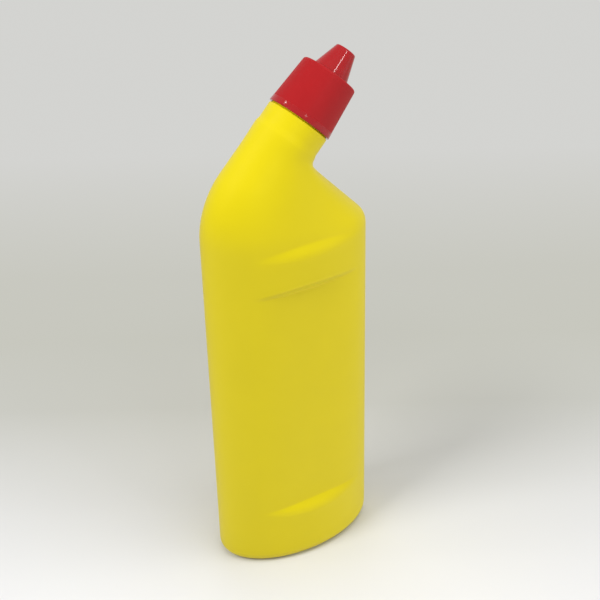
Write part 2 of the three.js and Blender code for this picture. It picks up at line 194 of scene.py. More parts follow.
class StudioSettings(bpy.types.PropertyGroup):
    """Camera, lamps and floor."""

    azimuth: angle("Azimuth", -31.673, "Camera's direction round the bottle")
    elevation: angle("Elevation", 29.996, "Camera's height above the horizon")
    roll: angle("Roll", -1.43, "Camera's turn about its own line of sight")
    distance: size("Distance", 589.832 * MM, "From the camera to the point that it looks at")
    target: bpy.props.FloatVectorProperty(
        name="Target", description="Point that the camera looks at",
        default=(7.484 * MM, 0.0, 135.364 * MM), size=3, subtype="XYZ")
    lens: number("Lens", 73.245, "Focal length in millimetres on a 36 mm sensor")
    floor_size: size("Floor size", 8.0, "Length of the floor's sides")
    # The floor's painted light falloff runs this way, painted greyer further along it
    falloff: angle("Falloff", 58.3, "Direction in which the floor turns greyer, from +X towards +Y")
    ambient: number("Ambient", 0.27, "Strength of the light that comes from all round")
    overhead: number("Overhead", 5.9, "Power of the soft box overhead, in watts")
    key: number("Key", 6.3, "Power of the high soft box at the left, in watts")
    fill: number("Fill", 5.0, "Power of the low soft box at the front right, in watts")
    back: number("Back", 2.6, "Power of the soft box behind the bottle, in watts")
    glint: number("Glint", 0.4, "Power of each small lamp that shows on glossy surfaces, in watts")


# Modelling helpers

def select_only(*pieces):
    """Selects these objects and no others, the first of them active."""
    for item in bpy.context.selected_objects:
        item.select_set(False)
    for piece in pieces:
        piece.select_set(True)
    bpy.context.view_layer.objects.active = pieces[0] if pieces else None


def select_vertices(piece, chosen):
    """Selects the vertices that chosen picks by place, and leaves the piece in edit mode."""
    bpy.ops.object.mode_set(mode="EDIT")
    bpy.ops.mesh.select_mode(type="VERT")
    bpy.ops.mesh.select_all(action="DESELECT")
    bpy.ops.object.mode_set(mode="OBJECT")
    for vertex in piece.data.vertices:
        vertex.select = chosen(vertex.co)
    bpy.ops.object.mode_set(mode="EDIT")


def lay_ring(old, new):
    """Moves the selected ring from one section to the next, levelled while it is resized."""
    if old.turn:
        bpy.ops.transform.rotate(value=-old.turn, orient_axis="Y", center_override=old.centre)
    bpy.ops.transform.resize(
        value=(new.long / old.long, new.deep / old.deep, 1), center_override=old.centre)
    if new.turn:
        bpy.ops.transform.rotate(value=new.turn, orient_axis="Y", center_override=old.centre)
    bpy.ops.transform.translate(value=new.centre - old.centre)


def skin_rings(name, sections, sides, start_filled=False, end_filled=False):
    """A skin extruded from ring to ring. Its vertices stay in the order of the rings."""
    select_only()
    bpy.ops.mesh.primitive_circle_add(vertices=sides, radius=1)
    piece = bpy.context.object
    piece.name = name
    bpy.ops.object.mode_set(mode="EDIT")
    bpy.ops.mesh.select_mode(type="EDGE")
    bpy.ops.mesh.select_all(action="SELECT")
    lay_ring(Section(Vector(), 0, 1, 1), sections[0])
    if start_filled:
        bpy.ops.mesh.edge_face_add()
    for old, new in zip(sections, sections[1:]):
        bpy.ops.mesh.extrude_edges_move()
        lay_ring(old, new)
    if end_filled:
        bpy.ops.mesh.edge_face_add()
    bpy.ops.object.mode_set(mode="OBJECT")
    return piece


def close_and_turn_outwards():
    """Joins doubled points of the active piece and turns its faces outwards."""
    bpy.ops.object.mode_set(mode="EDIT")
    bpy.ops.mesh.select_all(action="SELECT")
    bpy.ops.mesh.remove_doubles(threshold=MERGE_DISTANCE)
    bpy.ops.mesh.normals_make_consistent(inside=False)
    bpy.ops.object.mode_set(mode="OBJECT")


def add_modifier(piece, kind, settings):
    """Adds a modifier and applies it."""
    modifier = piece.modifiers.new(kind.title(), kind)
    for name, value in settings.items():
        setattr(modifier, name, value)
    bpy.context.view_layer.objects.active = piece
    bpy.ops.object.modifier_apply(modifier=modifier.name)


def round_edges(piece, width, limit_degrees, segments=3):
    """Rounds every edge that turns by more than a limit."""
    add_modifier(piece, "BEVEL", {
        "width": width, "segments": segments, "limit_method": "ANGLE",
        "angle_limit": math.radians(limit_degrees), "use_clamp_overlap": True})


def shade_round(piece, degrees):
    select_only(piece)
    bpy.ops.object.shade_smooth_by_angle(angle=math.radians(degrees))


def stand_on_neck(piece):
    """Moves a piece that was modelled about +Z, with the rim at the origin, onto the neck."""
    select_only(piece)
    piece.rotation_euler = (0, NECK_TILT, 0)
    piece.location = RIM_CENTRE
    bpy.ops.object.transform_apply(location=True, rotation=True, scale=True)


def round_sections(profile):
    """Round sections about +Z through a profile of (radius, along) points."""
    return [Section(Vector((0, 0, along)), 0, radius, radius) for radius, along in profile]


def rounded_corner(radius, along, round_size, steps=6):
    """Profile points round an outer corner, from facing outwards to facing up."""
    turns = [step / steps * math.pi / 2 for step in range(steps + 1)]
    return [
        (radius - round_size * (1 - math.cos(turn)), along - round_size * (1 - math.sin(turn)))
        for turn in turns]


def hollow_corner(radius, steps=5):
    """Offsets round a fillet, from a flat that faces up to a wall that faces outwards."""
    turns = [step / steps * math.pi / 2 for step in range(steps + 1)]
    return [(radius * (1 - math.sin(turn)), radius * (1 - math.cos(turn))) for turn in turns]


def smooth_step(value):
    value = min(max(value, 0.0), 1.0)
    return value * value * (3 - 2 * value)


def rolling_step(value, corner=0.08):
    """From 0 to 1, slow at first and steepest just before a tight corner at 1."""
    value = min(max(value, 0.0), 1.0)
    lead = 1 - corner
    if value < lead:
        return value * value / lead
    return 1 - (1 - value) ** 2 / corner


def mix(first, second, part):
    return first + (second - first) * part


# The bottle's outlines in the X-Z plane

def polar(turn, radius):
    """A vector in the X-Z plane, at an angle in radians from +X towards +Z."""
    return Vector((math.cos(turn), 0, math.sin(turn))) * radius


def arc(centre, radius, start, end, steps=48):
    """Points of an arc in the X-Z plane."""
    return [centre + polar(mix(start, end, step / steps), radius) for step in range(steps + 1)]


class Outline:
    """A line through points, which is asked for the point at a share of its length."""

    def __init__(self, points):
        self.points = points
        self.reach = [0.0]
        for first, second in zip(points, points[1:]):
            self.reach.append(self.reach[-1] + (second - first).length)

    def at(self, part):
        wanted = part * self.reach[-1]
        last = len(self.reach) - 2
        index = min(sum(1 for reach in self.reach if reach <= wanted) - 1, last)
        stretch = self.reach[index + 1] - self.reach[index]
        return self.points[index].lerp(self.points[index + 1], (wanted - self.reach[index]) / stretch)


def crossing(start, direction, other, other_direction):
    """Where a line in the X-Z plane meets another."""
    gap = other - start
    across = direction.x * other_direction.z - direction.z * other_direction.x
    return start + direction * ((gap.x * other_direction.z - gap.z * other_direction.x) / across)


def shoulder_outlines(bottle):
    """The back and the front outline of the shoulder, from the upright body to the neck."""
    slope = bottle.shoulder_slope
    corner_turn = math.pi / 2 - slope
    up_slope = Vector((-math.cos(slope), 0, math.sin(slope)))
    outward = Vector((math.sin(slope), 0, math.cos(slope)))
    neck_origin = neck_start(bottle)

    corner = Vector((HALF_LENGTH, 0, bottle.shoulder_corner))
    fan_start = bottle.shoulder_corner - bottle.shoulder_round * math.tan(corner_turn / 2)
    corner_centre = Vector((HALF_LENGTH - bottle.shoulder_round, 0, fan_start))
    crease = crossing(corner, up_slope, neck_origin + NECK_UNDER * bottle.neck_radius, NECK_AXIS)
    crease_turn = corner_turn + NECK_TILT
    crease_reach = bottle.crease_round * math.tan(crease_turn / 2)
    crease_centre = crease - up_slope * crease_reach + outward * bottle.crease_round
    crease_start = math.pi + math.pi / 2 - slope
    crease_end = math.pi - NECK_TILT

    right = [
        Vector((HALF_LENGTH, 0, fan_start)),
        *arc(corner_centre, bottle.shoulder_round, 0, corner_turn),
        *arc(crease_centre, bottle.crease_round, crease_start, crease_end)]
    along = (crease + NECK_AXIS * crease_reach - neck_origin).dot(NECK_AXIS)
    left = [
        Vector((-HALF_LENGTH, 0, fan_start)),
        *arc(bend_centre(bottle), bottle.bend_radius, math.pi, math.pi - NECK_TILT),
        neck_origin + NECK_AXIS * along - NECK_UNDER * bottle.neck_radius]
    return Outline(left), Outline(right)


def bend_centre(bottle):
    return Vector((bottle.bend_radius - HALF_LENGTH, 0, bottle.bend_start))


def neck_start(bottle):
    """The point of the neck's axis at the end of the bend."""
    return bend_centre(bottle) + NECK_UNDER * (bottle.neck_radius - bottle.bend_radius)


def section_between(left, right, half_depth, fade=0.0):
    """The elliptical section whose long way runs from one point of the X-Z plane to another."""
    across = right - left
    turn = math.atan2(across.z, across.x)
    return Section((left + right) / 2, turn, across.length / 2, half_depth, fade)


def level_section(height, tuck_long=0.0, tuck_deep=0.0):
    return Section(Vector((0, 0, height)), 0, HALF_LENGTH - tuck_long, HALF_DEPTH - tuck_deep)


def foot_sections(bottle):
    """The hollow under the base and the ring round it, from the middle outwards."""
    rim_long = HALF_LENGTH - bottle.base_round_long - bottle.foot_rim
    rim_deep = HALF_DEPTH - bottle.base_round_deep - bottle.foot_rim
    shares = [0.02, 0.2, 0.4, 0.55, 0.7, 0.82, 0.92, 1.0]
    return [
        Section(Vector((0, 0, bottle.push_up * (1 - part * part))), 0, rim_long * part, rim_deep * part)
        for part in shares]


def base_sections(bottle, steps=12):
    """The base's rounded edge, from the ground up."""
    sections = []
    for step in range(steps + 1):
        turn = step / steps * math.pi / 2
        tuck = 1 - math.sin(turn)
        sections.append(level_section(
            bottle.base_round_height * (1 - math.cos(turn)),
            bottle.base_round_long * tuck, bottle.base_round_deep * tuck))
    return sections


def spaced(start, end, spacing):
    """Even levels from start up to, but without, end."""
    count = max(round((end - start) / spacing), 1)
    return [mix(start, end, step / count) for step in range(count)]


def side_sections(bottle, fan_start):
    """The upright sides, with close rings where a ledge crosses them."""
    fine = 0.5 * MM
    coarse = 4 * MM
    levels = []
    start = bottle.base_round_height
    for ledge in (LOWER_LEDGE, UPPER_LEDGE, SHOULDER_LEDGE):
        low = ledge.low() - fine
        end = fan_start if ledge is SHOULDER_LEDGE else ledge.high() + fine
        levels += spaced(start, low, coarse) + spaced(low, end, fine)
        start = end
    return [level_section(level) for level in levels[1:]]


def eased_ramp(part, ease=0.2):
    """From 0 to 1 at an even slope, with both ends eased."""
    slope = 1 / (1 - ease)
    bend = slope / (2 * ease)
    if part < ease:
        return bend * part * part
    if part > 1 - ease:
        return 1 - bend * (1 - part) * (1 - part)
    return slope * (part - ease / 2)


def shoulder_sections(bottle, steps=72):
    """The shoulder, fanning from the level body to a section square to the neck."""
    left, right = shoulder_outlines(bottle)
    sections = []
    for step in range(steps + 1):
        part = step / steps
        neckward = eased_ramp(part)
        half_depth = mix(HALF_DEPTH, bottle.neck_radius, neckward)
        sections.append(section_between(left.at(part), right.at(part), half_depth, neckward))
    return sections


def neck_section(along, radius):
    """A round section square to the neck, at a distance along it from the rim."""
    centre = RIM_CENTRE + NECK_AXIS * along
    return section_between(centre - NECK_UNDER * radius, centre + NECK_UNDER * radius, radius, 1.0)


def neck_sections(bottle, fan_end):
    """The straight neck, the step under the cap, the collar and the threaded end."""
    neck_end = bottle.neck_length - rim_height(bottle)
    straight = spaced(fan_end, neck_end - NECK_END_ROUND, RING_SPACING)[1:]
    collar_top = neck_end + bottle.collar_height
    profile = [
        *[(along, bottle.neck_top_radius) for along in straight],
        *[(along, radius) for radius, along in rounded_corner(
            bottle.neck_top_radius, neck_end, NECK_END_ROUND, steps=4)],
        (neck_end, bottle.collar_radius),
        (collar_top, bottle.collar_radius),
        (collar_top, bottle.finish_radius),
        *[(along, bottle.finish_radius) for along in spaced(collar_top, 0.0, RING_SPACING)[1:]],
        (0.0, bottle.finish_radius)]
    return [neck_section(along, radius) for along, radius in profile]


def rim_height(bottle):
    """From the end of the bend to the rim."""
    return (RIM_CENTRE - neck_start(bottle)).dot(NECK_AXIS)


# The panel's recess

class Ledge:
    """A curved step in the broad faces. Its edges meet at a level at the panel's sides and swell
    from there by their sags towards the middle."""

    end_height = 1.2 * MM

    def __init__(self, level, outer_sag, inner_sag):
        self.level = level
        self.outer_sag = outer_sag
        self.inner_sag = inner_sag
        self.side = 1 if inner_sag > outer_sag else -1

    def low(self):
        return self.level + min(self.outer_sag, self.inner_sag, 0) - self.end_height

    def high(self):
        return self.level + max(self.outer_sag, self.inner_sag, 0) + self.end_height

    def past(self, swell, height):
        """0 on the proud side, 1 on the set-in side. A ledge that faces up ends in a tight corner."""
        outer = self.level + self.outer_sag * swell - self.side * self.end_height / 2
        inner = self.level + self.inner_sag * swell + self.side * self.end_height / 2
        part = (height - outer) / (inner - outer)
        return rolling_step(part) if self.side > 0 else smooth_step(part)


LOWER_LEDGE = Ledge(31.2 * MM, outer_sag=-4.4 * MM, inner_sag=1.6 * MM)
UPPER_LEDGE = Ledge(155 * MM, outer_sag=3.6 * MM, inner_sag=-0.1 * MM)
SHOULDER_LEDGE = Ledge(173.7 * MM, outer_sag=-2 * MM, inner_sag=4 * MM)
# Power of the swell by which the recess runs out towards the panel's sides
PANEL_FADE = 1.5


def set_in(bottle, place, neckward):
    """How far a point of a broad face is set in."""
    across = min(abs(place.x) / bottle.panel_half_width, 1.0)
    swell = 1 - across * across
    panel = LOWER_LEDGE.past(swell, place.z) * UPPER_LEDGE.past(swell, place.z)
    shoulder = SHOULDER_LEDGE.past(swell, place.z) * (1 - neckward)
    return swell ** PANEL_FADE * (bottle.panel_depth * panel + bottle.shoulder_recess * shoulder)


def press_in_panels(piece, bottle, sections):
    """Sets the panels in with weights on both broad faces and two displacements."""
    deepest = bottle.panel_depth + bottle.shoulder_recess
    groups = {side: piece.vertex_groups.new(name=f"recess_{side}") for side in ("front", "back")}
    for vertex in piece.data.vertices:
        section = sections[vertex.index // BODY_SIDES]
        if section.fade >= 1.0:
            continue
        weight = set_in(bottle, vertex.co, section.fade) / deepest * abs(vertex.co.y) / section.deep
        side = "front" if vertex.co.y < 0 else "back"
        if weight > 0:
            groups[side].add([vertex.index], weight, "REPLACE")
    # Applying a modifier remakes the groups, so from here on they are only named
    for side, way in (("front", 1), ("back", -1)):
        add_modifier(piece, "DISPLACE", {
            "vertex_group": f"recess_{side}", "direction": "Y", "mid_level": 0.0,
            "strength": way * deepest})
    piece.vertex_groups.clear()


def give_wall(piece, bottle):
    """Thickens the skin inwards, with the full neck wall only along the threaded end."""
    group = piece.vertex_groups.new(name="wall")
    neck_end = bottle.neck_length - rim_height(bottle)
    for vertex in piece.data.vertices:
        along = (vertex.co - RIM_CENTRE).dot(NECK_AXIS)
        thin = along < neck_end - bottle.collar_height
        group.add([vertex.index], bottle.wall / bottle.neck_wall if thin else 1.0, "REPLACE")
    add_modifier(piece, "SOLIDIFY", {
        "thickness": bottle.neck_wall, "offset": -1.0, "vertex_group": group.name,
        "use_even_offset": False})
    piece.vertex_groups.clear()


def thread_ridge(name, root, crest, foot, top, start, turns, pitch, run_out=0.12, steps=96):
    """A ridge that climbs about +Z from a start, and fades into its wall at both ends."""
    select_only()
    middle = (root + crest) / 2
    bpy.ops.mesh.primitive_plane_add(
        size=1, location=(middle, 0, start), rotation=(math.pi / 2, 0, 0))
    ridge = bpy.context.object
    ridge.name = name
    ridge.scale = (abs(crest - root), foot, 1)
    bpy.ops.object.transform_apply(location=True, rotation=True, scale=True)
    select_vertices(ridge, lambda place: (place.x - middle) * (crest - root) > 0)
    bpy.ops.transform.resize(value=(1, 1, top / foot), center_override=(crest, 0, start))
    bpy.ops.mesh.select_all(action="SELECT")
    bpy.ops.mesh.delete(type="ONLY_FACE")
    bpy.ops.object.mode_set(mode="OBJECT")
    add_modifier(ridge, "SCREW", {
        "angle": 2 * math.pi, "screw_offset": pitch, "iterations": turns,
        "steps": steps, "render_steps": steps, "use_normal_calculate": True})
    for vertex in ridge.data.vertices:
        climb = climb_share(vertex.co, start, pitch, turns)
        fade = smooth_step(min(climb, 1 - climb) / run_out)
        radius = vertex.co.xy.length
        wanted = mix(root, radius, fade)
        vertex.co.x *= wanted / radius
        vertex.co.y *= wanted / radius
    bpy.ops.object.mode_set(mode="EDIT")
    bpy.ops.mesh.select_all(action="SELECT")
    bpy.ops.mesh.fill_holes(sides=0)
    bpy.ops.object.mode_set(mode="OBJECT")
    close_and_turn_outwards()
    return ridge


def climb_share(place, start, pitch, turns):
    """How far up the thread a point is, from 0 to 1."""
    turned = math.atan2(place.y, place.x) / (2 * math.pi) % 1
    whole = round((place.z - start) / pitch - turned)
    return min(max((whole + turned) / turns, 0.0), 1.0)


def join_to(piece, others):
    """Makes other meshes part of a piece."""
    select_only(piece, *others)
    bpy.ops.object.join()


# Materials

class Value:
    """An output of a material's nodes. Python's operators on it add Math nodes."""

    def __init__(self, finish, socket):
        self.finish = finish
        self.socket = socket

    def _math(self, operation, *values):
        return self.finish.node("ShaderNodeMath", {"operation": operation}, dict(enumerate(values)))

    def __add__(self, other):
        return self._math("ADD", self, other)

    def __sub__(self, other):
        return self._math("SUBTRACT", self, other)

    def __mul__(self, other):
        return self._math("MULTIPLY", self, other)

    def __truediv__(self, other):
        return self._math("DIVIDE", self, other)

    def __rsub__(self, other):
        return self._math("SUBTRACT", other, self)

    __radd__ = __add__

    def between(self, low, high):
        """0 below low, 1 above high, smooth between."""
        return self.finish.node(
            "ShaderNodeMapRange", {"interpolation_type": "SMOOTHSTEP"},
            {"Value": self, "From Min": low, "From Max": high, "To Min": 0.0, "To Max": 1.0})


class Finish:
    """A material whose shader takes constants and Values."""

    def __init__(self, name):
        self.material = bpy.data.materials.new(name)
        self.material.use_nodes = True
        self.tree = self.material.node_tree
        self.shader = next(node for node in self.tree.nodes if node.type == "BSDF_PRINCIPLED")

    def _feed(self, socket, value):
        if isinstance(value, Value):
            self.tree.links.new(value.socket, socket)
        else:
            socket.default_value = value

    def node(self, kind, settings=None, inputs=None, output=0):
        """Adds a node: its settings first, then the values or links of its inputs."""
        made = self.tree.nodes.new(kind)
        for name, value in (settings or {}).items():
            setattr(made, name, value)
        for name, value in (inputs or {}).items():
            self._feed(made.inputs[name], value)
        return Value(self, made.outputs[output])

    def set(self, **inputs):
        """Feeds the shader's inputs, named with _ for a space."""
        for name, value in inputs.items():
            self._feed(self.shader.inputs[name.replace("_", " ")], value)

    def place(self):
        return self.node("ShaderNodeTexCoord", output="Object")

    def part_of_place(self, direction, origin):
        """How far a point lies from an origin along a direction."""
        offset = self.node("ShaderNodeVectorMath", {"operation": "SUBTRACT"}, {0: self.place(), 1: origin})
        return self.node(
            "ShaderNodeVectorMath", {"operation": "DOT_PRODUCT"}, {0: offset, 1: direction}, "Value")

    def noise(self, grain, detail=2.0):
        """Noise from 0 to 1 whose lumps are about grain across."""
        return self.node(
            "ShaderNodeTexNoise", inputs={
                "Vector": self.place(), "Scale": 1 / grain, "Detail": detail, "Roughness": 0.5})

    def blend(self, first, second, factor):
        """A colour between two, by a factor."""
        made = self.tree.nodes.new("ShaderNodeMix")
        made.data_type = "RGBA"
        self._feed(made.inputs["Factor"], factor)
        colour_inputs = [socket for socket in made.inputs if socket.type == "RGBA"]
        colour_output = next(socket for socket in made.outputs if socket.type == "RGBA")
        self._feed(colour_inputs[0], first)
        self._feed(colour_inputs[1], second)
        return Value(self, colour_output)

    def ramp(self, factor, stops):
        """A colour from stops of (place, colour)."""
        made = self.tree.nodes.new("ShaderNodeValToRGB")
        elements = made.color_ramp.elements
        while len(elements) < len(stops):
            elements.new(0.5)
        for element, (place, shade) in zip(elements, stops):
            element.position = place
            element.color = shade
        self._feed(made.inputs["Fac"], factor)
        return Value(self, made.outputs["Color"])

    def show_plain(self, shade, factor):
        """Shows a colour without light or shadow to the camera and to reflections, by a factor."""
        seen = sum(
            self.node("ShaderNodeLightPath", output=kind) for kind in ("Is Camera Ray", "Is Glossy Ray"))
        plain = self.tree.nodes.new("ShaderNodeEmission")
        self._feed(plain.inputs["Color"], shade)
        both = self.tree.nodes.new("ShaderNodeMixShader")
        self._feed(both.inputs[0], seen * factor)
        self.tree.links.new(self.shader.outputs[0], both.inputs[1])
        self.tree.links.new(plain.outputs[0], both.inputs[2])
        output = next(node for node in self.tree.nodes if node.type == "OUTPUT_MATERIAL")
        self.tree.links.new(both.outputs[0], output.inputs["Surface"])

    def bump(self, height, distance, under=None):
        """Normals of a surface whose height from 0 to 1 spans a distance."""
        inputs = {"Height": height, "Strength": 1.0, "Distance": distance}
        if under is not None:
            inputs["Normal"] = under
        return self.node("ShaderNodeBump", inputs=inputs)


def opaque(values, shade=1.0):
    """A colour property as a shader's colour, darker or lighter by shade."""
    return tuple(min(value * shade, 1.0) for value in values) + (1.0,)


def blown_plastic(values):
    """Satin yellow plastic with the fine grain of a blasted mould and the slow waves of blowing."""
    finish = Finish("blown_yellow_plastic")
    cloud = finish.noise(grain=24 * MM)
    texture = finish.noise(grain=0.45 * MM)
    waves = finish.bump(finish.noise(grain=22 * MM, detail=1.0), distance=0.03 * MM)
    finish.set(
        Base_Color=finish.blend(opaque(values, 0.97), opaque(values, 1.03), cloud),
        Roughness=0.36 + texture * 0.12,
        Normal=finish.bump(texture, distance=0.012 * MM, under=waves),
        IOR=1.5,
        Specular_IOR_Level=0.3)
    return finish.material


def moulded_red(closure):
    """Red plastic: fine matte texture on the skirt, gloss on the lower band and on the tip."""
    finish = Finish("moulded_red_plastic")
    along = finish.part_of_place(NECK_AXIS, RIM_CENTRE)
    skirt_start = CAP_BOTTOM + closure.band_height
    skirt_end = CAP_TOP - closure.tip_height
    edge = 0.2 * MM
    over_band = along.between(skirt_start - edge, skirt_start + edge)
    under_tip = 1 - along.between(skirt_end - edge, skirt_end + edge)
    textured = over_band * under_tip
    texture = finish.noise(grain=0.3 * MM)
    waves = finish.bump(finish.noise(grain=12 * MM, detail=1.0), distance=0.008 * MM)
    cloud = finish.noise(grain=6 * MM)
    finish.set(
        Base_Color=finish.blend(opaque(closure.red), opaque(closure.red, 1.1), cloud),
        Roughness=0.12 + textured * 0.45 + textured * texture * 0.1,
        Normal=finish.bump(texture * textured, distance=0.03 * MM, under=waves),
        IOR=1.5,
        Specular_IOR_Level=0.4)
    return finish.material


def natural_plastic(values):
    """Milky plastic that lets a little light through."""
    finish = Finish("natural_plastic")
    cloud = finish.noise(grain=5 * MM)
    finish.set(
        Base_Color=finish.blend(opaque(values, 0.96), opaque(values), cloud),
        Roughness=0.28 + cloud * 0.08,
        Normal=finish.bump(finish.noise(grain=3 * MM), distance=0.01 * MM),
        Subsurface_Weight=0.35,
        Subsurface_Scale=1.5 * MM,
        IOR=1.5)
    return finish.material


def fine_foam(values):
    """White foam with small closed cells."""
    finish = Finish("liner_foam")
    cell_size = 0.35 * MM
    cells = finish.node(
        "ShaderNodeTexVoronoi", inputs={"Vector": finish.place(), "Scale": 1 / cell_size},
        output="Distance")
    finish.set(
        Base_Color=finish.blend(opaque(values, 0.9), opaque(values), cells),
        Roughness=0.85,
        Normal=finish.bump(cells, distance=0.05 * MM))
    return finish.material


# The floor's painted light falloff: greys by the distance behind the bottle, each with its share of blue.
# The lower blue behind the bottle is painted yellow bounce light from it.
PAPER_START = -60 * MM
PAPER_END = 540 * MM
PAINTED_FALLOFF_GREYS = (
    (-60 * MM, 0.905, 1.0),
    (10 * MM, 0.81, 0.985),
    (110 * MM, 0.605, 0.92),
    (190 * MM, 0.575, 0.9),
    (280 * MM, 0.58, 0.91),
    (500 * MM, 0.655, 0.97))
# The lamps lie brighter on the paper than on the bottle, so there it takes this share of its colour
PAPER_LIT_SHARE = 0.82
# The floor is lit up to the first distance, and from the second shows its painted falloff plainly
PLAIN_START = 110 * MM
PLAIN_END = 260 * MM
BLACK = (0.0, 0.0, 0.0, 1.0)


def floor_paper(studio):
    """Pale paper with painted light falloff: painted brightest in front of the bottle, greyer behind it,
    and faintly yellow there as painted bounce light. Near the bottle it takes the lamps' light and shadow
    as well, and far away it shows the painted falloff plainly, as emission to the camera and to
    reflections."""
    finish = Finish("floor_paper")
    away = Vector((math.cos(studio.falloff), math.sin(studio.falloff), 0))
    behind = (finish.part_of_place(away, Vector()) - PAPER_START) / (PAPER_END - PAPER_START)
    stops = [
        ((distance - PAPER_START) / (PAPER_END - PAPER_START), (grey, grey, grey * blue, 1.0))
        for distance, grey, blue in PAINTED_FALLOFF_GREYS]
    radius = finish.node(
        "ShaderNodeVectorMath", {"operation": "LENGTH"}, {0: finish.place()}, "Value")
    # Painted light falloff, with painted yellow bounce light behind the bottle
    paper_with_painted_falloff = finish.ramp(behind, stops)
    finish.set(
        Base_Color=finish.blend(BLACK, paper_with_painted_falloff, PAPER_LIT_SHARE),
        Roughness=0.8,
        Specular_IOR_Level=0.1)
    finish.show_plain(paper_with_painted_falloff, radius.between(PLAIN_START, PLAIN_END))
    return finish.material


def dress(piece, material, body, node):
    """Gives a finished piece its material and its body, and hides the CAD node it stands for."""
    piece.data.materials.clear()
    piece.data.materials.append(material)
    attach(piece, body)
    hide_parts(node)


# Operators

class CLEANER_OT_bottle(bpy.types.Operator):
    """Models the blown bottle with its panels, wall and neck thread"""

    bl_idname = "cleaner.bottle"
    bl_label = "Bottle"

    def execute(self, context):
        bottle = context.scene.cleaner_bottle
        closure = context.scene.cleaner_closure
        shoulder = shoulder_sections(bottle)
        fan_end = (shoulder[-1].centre - RIM_CENTRE).dot(NECK_AXIS)
        sections = [
            *foot_sections(bottle),
            *base_sections(bottle),
            *side_sections(bottle, shoulder[0].centre.z),
            *shoulder,
            *neck_sections(bottle, fan_end)]
        piece = skin_rings("blown_bottle", sections, BODY_SIDES, start_filled=True)
        press_in_panels(piece, bottle, sections)
        close_and_turn_outwards()
        give_wall(piece, bottle)
        round_edges(piece, bottle.edge_round, limit_degrees=60)
        thread = thread_ridge(
            "neck_thread", bottle.finish_radius - THREAD_BITE,
            bottle.finish_radius + closure.thread_height,
            foot=2.2 * MM, top=0.9 * MM, start=THREAD_START,
            turns=closure.thread_turns, pitch=closure.thread_pitch)
        stand_on_neck(thread)
        join_to(piece, [thread])
        shade_round(piece, degrees=35)
        dress(piece, blown_plastic(bottle.plastic), "bottle", "bottle")
        return {"FINISHED"}


class CLEANER_OT_nozzle(bpy.types.Operator):
    """Models the nozzle insert with its ribbed plug, flange and spout"""

    bl_idname = "cleaner.nozzle"
    bl_label = "Nozzle insert"

    def execute(self, context):
        closure = context.scene.cleaner_closure
        relief = 0.25 * MM
        rib = 1.4 * MM
        flange_under = closure.rim_gap
        flange_top = flange_under + closure.flange
        relieved = closure.plug_radius - relief
        inside = relieved - closure.plug_wall
        root = closure.tip_root_radius - closure.tip_wall - closure.spout_gap
        top = closure.tip_top_radius - closure.tip_wall - closure.spout_gap
        inside_tip = CAP_TOP - closure.tip_wall
        under_roof = CAP_TOP - closure.tip_height - closure.roof

        def spout(along):
            return mix(root, top, (along - under_roof) / (inside_tip - under_roof))

        orifice_start = SPOUT_END - closure.orifice_length
        profile = [
            (inside, INSERT_BOTTOM),
            (relieved - relief, INSERT_BOTTOM),
            (closure.plug_radius, INSERT_BOTTOM + rib),
            (relieved, INSERT_BOTTOM + rib + relief),
            (relieved, flange_under - 2 * rib),
            (closure.plug_radius, flange_under - 2 * rib + relief),
            (closure.plug_radius, flange_under),
            (FLANGE_RADIUS, flange_under),
            (FLANGE_RADIUS, flange_top),
            (root, flange_top),
            (spout(SPOUT_END), SPOUT_END),
            (closure.orifice_radius, SPOUT_END),
            (closure.orifice_radius, orifice_start),
            (spout(orifice_start) - closure.spout_wall, orifice_start - BORE_SLOPE),
            (root - closure.spout_wall, flange_top),
            (inside, flange_under - closure.flange),
            (inside, INSERT_BOTTOM)]
        piece = skin_rings("squirt_nozzle", round_sections(profile), ROUND_SIDES)
        close_and_turn_outwards()
        round_edges(piece, INSERT_ROUND, limit_degrees=20)
        stand_on_neck(piece)
        shade_round(piece, degrees=30)
        dress(piece, natural_plastic(closure.natural), "bottle", "nozzle_insert")
        return {"FINISHED"}


class CLEANER_OT_sealing_ring(bpy.types.Operator):
    """Models the foam ring between the nozzle's flange and the cap"""

    bl_idname = "cleaner.sealing_ring"
    bl_label = "Sealing ring"

    def execute(self, context):
        closure = context.scene.cleaner_closure
        profile = [
            (closure.ring_inner_radius, RING_UNDER),
            (RING_RADIUS, RING_UNDER),
            (RING_RADIUS, RING_TOP),
            (closure.ring_inner_radius, RING_TOP),
            (closure.ring_inner_radius, RING_UNDER)]
        piece = skin_rings("foam_ring", round_sections(profile), ROUND_SIDES)
        close_and_turn_outwards()
        round_edges(piece, MOULDED_ROUND, limit_degrees=60)
        stand_on_neck(piece)
        shade_round(piece, degrees=30)
        dress(piece, fine_foam(closure.foam), "sealing_ring", "sealing_ring")
        return {"FINISHED"}


